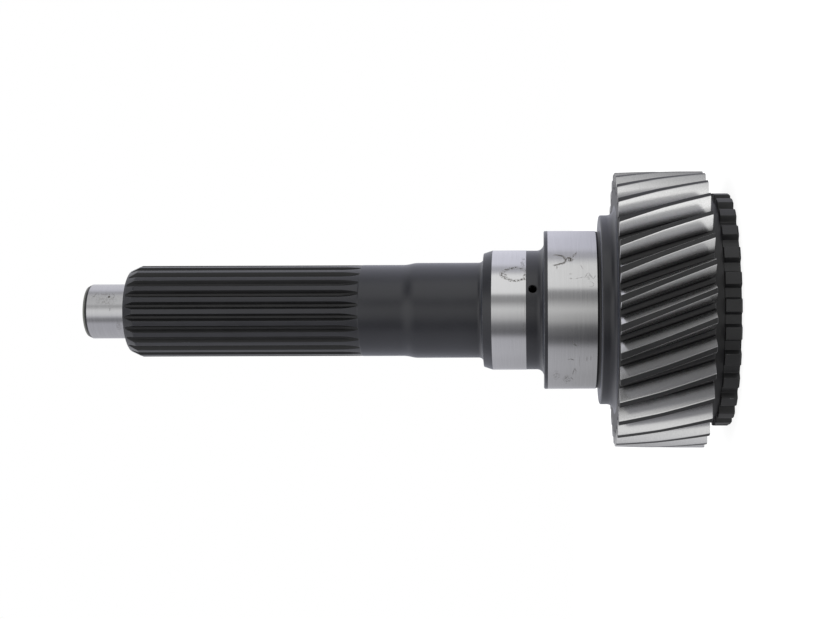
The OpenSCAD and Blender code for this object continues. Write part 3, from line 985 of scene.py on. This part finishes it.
def shaftSurface():
    bm = bmesh.new()
    bm.verts.layers.float.new("wear")
    tree = repeatTree()
    splineTop, splineFoot = addRing(
        bm, tree, "clutchSpline", splineLevels(clutchSpline), clutchSpline["teeth"], "spline", "groove")
    gearTop, gearFoot = addRing(
        bm, tree, "helicalGear", gearLevels(gear), gear["teeth"], "black", "flank")
    dogTop, dogFoot = addRing(bm, tree, "dogRing", dogLevels(dogRing), dogRing["teeth"], "black", "black")
    bpy.data.node_groups.remove(tree)

    _, endLast = turn(bm, endCorners(shaftEnd))
    skin(bm, endLast, splineTop, "spline")
    bodyFirst, bodyLast = turn(bm, bodyCorners(shaftBody))
    skin(bm, splineFoot, bodyFirst, "spline")
    upperHub = hubRing(bm, gearTop, gear["hubRadius"])
    skin(bm, bodyLast, upperHub)
    skin(bm, upperHub, gearTop)
    lowerHub = hubRing(bm, gearFoot, gear["hubRadius"])
    skin(bm, gearFoot, lowerHub)
    neckFirst, neckLast = turn(bm, neckCorners(gearEnd))
    skin(bm, lowerHub, neckFirst)
    dogUpperHub = hubRing(bm, dogTop, dogRing["hubRadius"])
    skin(bm, neckLast, dogUpperHub)
    skin(bm, dogUpperHub, dogTop)
    dogLowerHub = hubRing(bm, dogFoot, dogRing["hubRadius"])
    skin(bm, dogFoot, dogLowerHub)
    boreFirst, _ = turn(bm, boreCorners(gearEnd))
    skin(bm, dogLowerHub, boreFirst)
    return bm


oilHole = {
    "radius": 2.1,
    "height": 108.8,
    "angle": -69.9,
    "sink": 0.4,
    "start": 2.5,           # from the axis, inside the gallery
    "clear": 1.0,           # past the relief
    "sides": 40,
}


def holeCutter(h, surface):
    # A round cutter from the gallery out past the relief, with the countersink at its mouth
    bm = bmesh.new()
    turn = Matrix.Rotation(radians(h["angle"]), 4, "Z")
    rings = []
    reaches = (h["start"], surface - h["sink"], surface + h["clear"])
    radii = (h["radius"], h["radius"], h["radius"] + h["sink"] + h["clear"])
    for reach, radius in zip(reaches, radii):
        ring = []
        for k in range(h["sides"]):
            spot = polar(radius, 360 * k / h["sides"])
            ring.append(bm.verts.new(turn @ Vector((reach, spot.x, h["height"] + spot.y))))
        rings.append(ring)
    for a, b in zip(rings, rings[1:]):
        for i in range(h["sides"]):
            bm.faces.new((a[i - 1], a[i], b[i], b[i - 1]))
    bm.faces.new(rings[0])
    bm.faces.new(rings[-1])
    bmesh.ops.recalc_face_normals(bm, faces=bm.faces)
    mesh = bpy.data.meshes.new("holeCutter")
    bm.to_mesh(mesh)
    bm.free()
    return addObject("holeCutter", mesh)


def finishedMesh(body, cutter):
    # Cuts the oil hole, marks the crisp edges and brings the mesh to metres.
    cut = body.modifiers.new("oilHole", "BOOLEAN")
    cut.operation = "DIFFERENCE"
    cut.solver = "EXACT"
    cut.object = cutter
    mesh = evaluatedMesh(body)
    body.modifiers.clear()
    bpy.data.objects.remove(cutter)
    bm = bmesh.new()
    bm.from_mesh(mesh)
    bmesh.ops.remove_doubles(bm, verts=bm.verts, dist=weldDistance / 2)
    bm.normal_update()
    loose = sum(1 for e in bm.edges if len(e.link_faces) != 2)
    print("edges without two faces:", loose, "volume:", round(bm.calc_volume() / 1000, 2), "cm3")
    for edge in bm.edges:
        steep = len(edge.link_faces) == 2 and edge.calc_face_angle(0) > radians(sharpAngle)
        border = len({f.material_index for f in edge.link_faces}) > 1
        edge.smooth = not (steep or border)
    for face in bm.faces:
        face.smooth = True
    bmesh.ops.scale(bm, vec=(1 / perMetre,) * 3, verts=bm.verts)
    bm.to_mesh(mesh)
    bm.free()
    return mesh


surface = shaftSurface()
rough = bpy.data.meshes.new("inputShaft")
surface.to_mesh(rough)
surface.free()
for name in finishes:
    rough.materials.append(materials[name])
inputShaft = addObject("inputShaft", rough)
inputShaft.data = finishedMesh(inputShaft, holeCutter(oilHole, shaftBody["reliefRadius"]))
inputShaft.data.name = "inputShaft"
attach(inputShaft, "root")
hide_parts("input_shaft")
print("input shaft built:", len(inputShaft.data.polygons), "faces")


# Floor, lights and camera

photoWidth = 825        # pixels
sensorWidth = 36        # millimetres
view = {
    "focal": 1460 / photoWidth * sensorWidth,
    "distance": 0.8191,
    "height": 0.1041,
    "roll": 0.195,
    "shiftRight": (412 - 541) / photoWidth,
    "shiftUp": 0.45 / photoWidth,
}


def addCamera(v):
    data = bpy.data.cameras.new("camera")
    data.sensor_width = sensorWidth
    data.lens = v["focal"]
    data.shift_x = v["shiftRight"]
    data.shift_y = v["shiftUp"]
    data.clip_start = 0.01
    data.clip_end = 50
    made = addObject("camera", data)
    # The picture's right is world -Z and its top is world +X.
    facing = Matrix(((0, 1, 0), (0, 0, -1), (-1, 0, 0))).to_4x4()
    standing = Matrix.Translation((0, -v["distance"], v["height"]))
    made.matrix_world = standing @ facing @ Matrix.Rotation(radians(-v["roll"]), 4, "Z")
    bpy.context.scene.camera = made
    return made


addCamera(view)

# The studio light, in bands along the shaft. Each band has the lowest and the highest Z part of a
# direction that it covers, and then its brightness against the angle around the shaft: 0 is the
# picture's top, 90 is towards the camera and 180 is the bottom. The last number is the share of blue.

studioBands = [
    ("farRight", -1.0, -0.4, [
        (-90, 0.26, 1.08), (-20, 0.22, 1.08), (20, 0.22, 1.04), (36, 0.36, 1.03), (59, 0.53, 1.02),
        (72, 0.58, 1.0), (82, 0.78, 1.0), (90, 0.92, 1.0), (100, 1.04, 0.99), (116, 1.14, 0.99),
        (130, 1.08, 0.99), (144, 0.9, 1.0), (156, 0.76, 1.0), (168, 0.6, 1.0), (180, 0.42, 1.0),
        (190, 0.3, 1.0), (205, 0.18, 1.0), (270, 0.2, 1.08),
    ]),
    ("gaps", -0.32, -0.15, [
        (-90, 0.6, 1.06), (-12, 0.75, 1.06), (-4, 0.95, 1.04), (4, 1.1, 1.02), (22, 1.15, 1.0),
        (34, 0.85, 1.0), (56, 0.68, 1.0), (62, 0.3, 1.02), (74, 0.21, 1.0), (90, 0.4, 0.98),
        (106, 0.235, 1.0), (120, 0.06, 1.05), (133, 0.05, 1.05), (148, 0.04, 1.03), (158, 0.07, 1.03),
        (172, 0.3, 1.03), (200, 0.355, 1.03), (270, 0.48, 1.06),
    ]),
    ("right", -0.12, -0.038, [
        (-90, 0.53, 1.12), (-60, 0.56, 1.14), (-12, 0.56, 1.14), (-6, 0.53, 1.12), (0, 0.41, 1.1),
        (8, 0.41, 1.08), (13, 0.54, 1.04), (20, 0.7, 1.0), (58, 0.68, 1.0), (62, 0.28, 1.02),
        (66, 0.21, 1.02), (74, 0.21, 1.0), (82, 0.345, 0.99), (90, 0.47, 0.98), (98, 0.33, 0.99),
        (106, 0.235, 1.0), (113, 0.085, 1.03), (120, 0.055, 1.05), (133, 0.055, 1.05),
        (140, 0.12, 1.05), (148, 0.29, 1.03), (160, 0.35, 1.03), (172, 0.38, 1.03), (200, 0.355, 1.03),
        (235, 0.355, 1.05), (270, 0.48, 1.1),
    ]),
    ("rearSeat", -0.008, -0.008, [
        (-90, 0.6, 1.12), (-50, 0.765, 1.14), (-15, 0.71, 1.14), (-8, 0.69, 1.13), (0, 0.5, 1.1),
        (8, 0.448, 1.08), (16, 0.73, 1.03), (22, 0.87, 1.0), (57, 0.9, 1.0), (62, 0.5, 1.01),
        (65, 0.355, 1.02), (73, 0.307, 1.02), (82, 0.547, 1.0), (90, 0.7, 1.0), (98, 0.553, 1.0),
        (106, 0.512, 1.0), (115, 0.239, 1.02), (123, 0.203, 1.04), (131, 0.118, 1.06),
        (139, 0.186, 1.06), (147, 0.409, 1.06), (156, 0.45, 1.06), (180, 0.45, 1.06),
        (200, 0.42, 1.06), (235, 0.42, 1.06), (270, 0.52, 1.1),
    ]),
    ("frontSeat", 0.03, 0.03, [
        (-90, 0.67, 1.1), (-60, 0.8, 1.12), (-12, 0.8, 1.12), (-6, 0.76, 1.11), (0, 0.51, 1.1),
        (9, 0.49, 1.09), (14, 0.65, 1.05), (20, 1.01, 1.01), (58, 0.985, 1.01), (62, 0.4, 1.02),
        (66, 0.33, 1.02), (74, 0.33, 1.02), (80, 0.56, 1.02), (88, 0.76, 1.01), (98, 0.69, 1.01),
        (106, 0.54, 1.02), (113, 0.38, 1.04), (120, 0.235, 1.05), (131, 0.175, 1.08),
        (137, 0.23, 1.08), (143, 0.46, 1.08), (149, 0.54, 1.08), (180, 0.555, 1.08),
        (200, 0.51, 1.08), (235, 0.47, 1.08), (270, 0.56, 1.1),
    ]),
    ("pilot", 0.295, 0.31, [
        (-90, 0.62, 1.08), (-60, 0.68, 1.08), (-20, 0.66, 1.1), (-8, 0.57, 1.1), (0, 0.43, 1.08),
        (9, 0.42, 1.06), (15, 0.5, 1.04), (25, 0.54, 1.02), (58, 0.57, 1.02), (63, 0.45, 1.02),
        (68, 0.39, 1.02), (74, 0.43, 1.02), (80, 0.62, 1.02), (88, 0.73, 1.02), (98, 0.72, 1.03),
        (106, 0.68, 1.04), (113, 0.47, 1.07), (120, 0.24, 1.08), (130, 0.2, 1.08),
        (137, 0.35, 1.09), (145, 0.44, 1.1), (180, 0.45, 1.08), (235, 0.48, 1.07), (270, 0.6, 1.08),
    ]),
    ("farLeft", 0.38, 0.78, [
        (-90, 0.6, 1.04), (-60, 0.8, 1.04), (-30, 0.7, 1.04), (-8, 0.42, 1.04),
        (6, 0.34, 1.03), (18, 0.2, 1.02), (34, 0.12, 1.02),
        (42, 0.17, 1.02), (47, 0.25, 1.01), (53, 0.4, 1.0), (63, 0.66, 1.0), (72, 0.78, 1.0),
        (80, 0.87, 1.0), (88, 0.9, 1.0), (99, 0.76, 1.0), (112, 0.7, 1.02), (126, 0.56, 1.03),
        (140, 0.46, 1.04), (180, 0.45, 1.06), (205, 0.8, 1.06), (240, 0.85, 1.04), (270, 0.6, 1.04),
    ]),
    ("end", 0.88, 1.0, [
        (-90, 0.75, 1.02), (-30, 0.8, 1.02), (20, 0.75, 1.02), (45, 0.45, 1.02), (70, 0.15, 1.02),
        (110, 0.15, 1.02), (140, 0.45, 1.02), (165, 0.75, 1.02), (200, 0.75, 1.02), (270, 0.75, 1.02),
    ]),
]
onFloor = 1.2           # how bright the room is for the floor


def addStudio(bands, onFloor):
    world = bpy.data.worlds.new("studio")
    bpy.context.scene.world = world
    world.use_nodes = True
    tree = world.node_tree
    tree.nodes.clear()
    split = addNode(tree, "ShaderNodeSeparateXYZ")
    feed(tree, split.inputs["Vector"], addNode(tree, "ShaderNodeTexCoord").outputs["Generated"])
    towards = maths(tree, "MULTIPLY", split.outputs["Y"], -1)
    angle = maths(tree, "ARCTAN2", towards, split.outputs["X"])
    place = maths(tree, "FRACT", maths(tree, "MULTIPLY_ADD", angle, 1 / (2 * pi), 0.25))
    colour, reached = None, 0
    for name, low, high, stops in bands:
        ramp = addNode(tree, "ShaderNodeValToRGB", name=name)
        elements = ramp.color_ramp.elements
        while len(elements) < len(stops):
            elements.new(0.5)
        for element, (way, bright, blue) in zip(elements, stops):
            element.position = (way + 90) / 360
            element.color = (bright, bright, bright * blue, 1)
        feed(tree, ramp.inputs["Fac"], place)
        if colour is None:
            colour = ramp.outputs["Color"]
        else:
            nearer = fade(tree, split.outputs["Z"], reached, low)
            colour = blend(tree, nearer, colour, ramp.outputs["Color"])
        reached = high
    path = addNode(tree, "ShaderNodeLightPath")
    colour = blend(tree, path.outputs["Is Diffuse Ray"], colour, (onFloor,) * 3)
    colour = blend(tree, path.outputs["Is Camera Ray"], colour, (1, 1, 1))
    background = placeNode(tree, "ShaderNodeBackground", "Background", {"Color": colour})
    feed(tree, addNode(tree, "ShaderNodeOutputWorld").inputs["Surface"], background)


addStudio(studioBands, onFloor)

floorFinish = {
    "Base Color": (0.25, 0.25, 0.25),
    "Roughness": 0.9,
    "Specular IOR Level": 0.0,
    "Emission Color": (1, 1, 1),
    "Emission Strength": 0.86,
}
floorReach = 4          # metres to each side
paleFloor = bpy.data.materials.new("paleFloor")
paleFloor.use_nodes = True
floorTree = paleFloor.node_tree
for label, value in floorFinish.items():
    feed(floorTree, floorTree.nodes["Principled BSDF"].inputs[label], value)
floorMesh = bpy.data.meshes.new("floor")
around = ((-1, -1), (1, -1), (1, 1), (-1, 1))
floorMesh.from_pydata([(x * floorReach, y * floorReach, 0) for x, y in around], [], [(0, 1, 2, 3)])
floorMesh.materials.append(paleFloor)
floor = addObject("floor", floorMesh)
floor.visible_glossy = False
floor.visible_diffuse = False
floor.visible_shadow = False
bpy.context.scene.view_settings.view_transform = "Standard"
